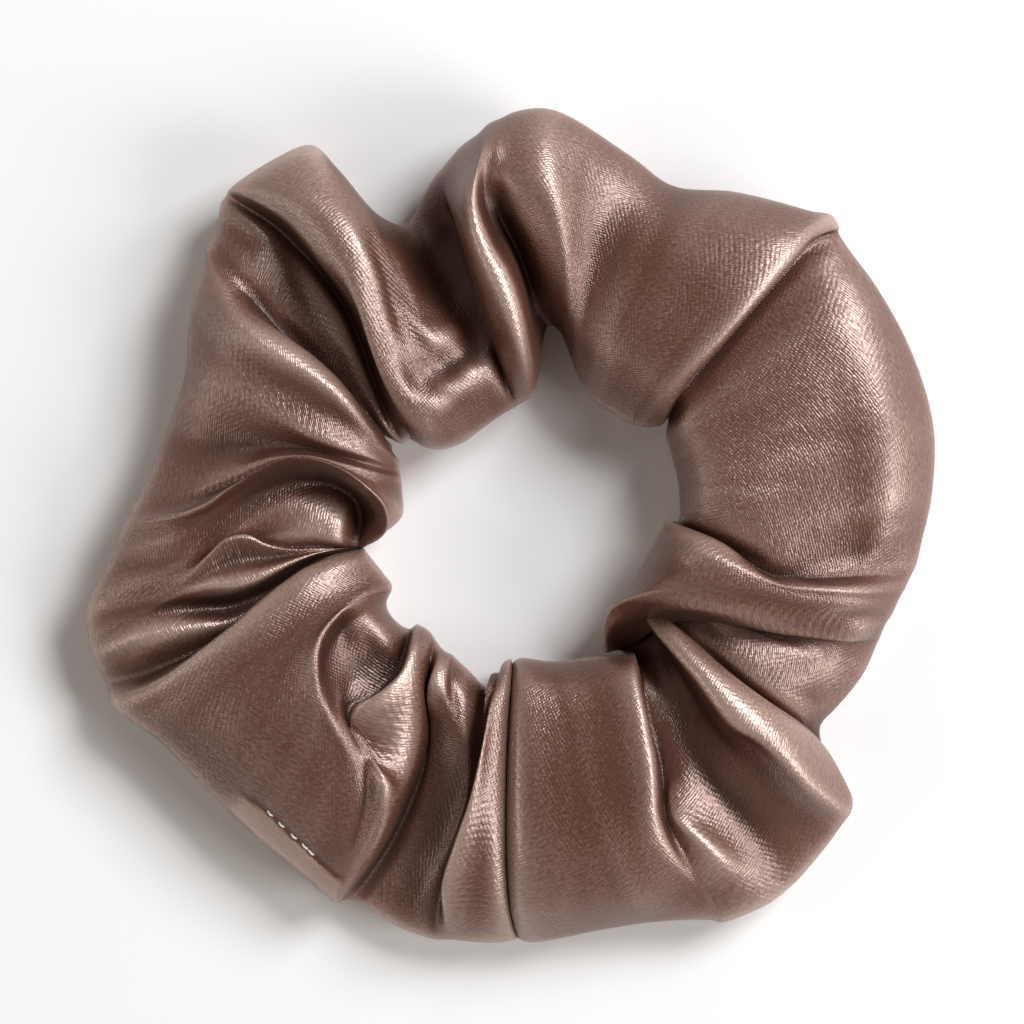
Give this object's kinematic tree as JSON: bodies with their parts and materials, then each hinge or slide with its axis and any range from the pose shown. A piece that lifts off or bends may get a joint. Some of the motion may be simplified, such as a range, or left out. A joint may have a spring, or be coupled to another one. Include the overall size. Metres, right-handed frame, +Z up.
{
  "type": "scrunchie",
  "caption": "Hair scrunchie lying flat: a gathered satin sleeve, sewn closed end to end, over a loop of flat elastic that turns freely inside it.",
  "frame": {"origin": "middle of the scrunchie's outline in plan, on the surface it lies on", "axes": "+Z up out of the surface, along the axis of the hair hole; -Y towards the closing seam"},
  "size_m": [0.109, 0.1074, 0.0216],
  "materials": {
    "satin": "mauve-brown satin with a soft sheen",
    "elastic": "braided elastic, matt off-white",
    "brown_thread": "polyester sewing thread",
    "pale_thread": "polyester sewing thread"
  },
  "bodies": {
    "sleeve": {"satin_sleeve": "satin", "long_seam_thread": "brown_thread", "closing_seam_thread": "brown_thread", "hem_needle_thread": "pale_thread", "hem_bobbin_thread": "pale_thread"},
    "elastic": {"elastic_band": "elastic", "elastic_tack_thread": "pale_thread"}
  },
  "joints": [
    {"name": "elastic_turn", "type": "hinge", "parent": "sleeve", "child": "elastic", "pos_m": [0.00318, 0.00172, 0], "axis": [0, 0, 1], "continuous": true}
  ]
}
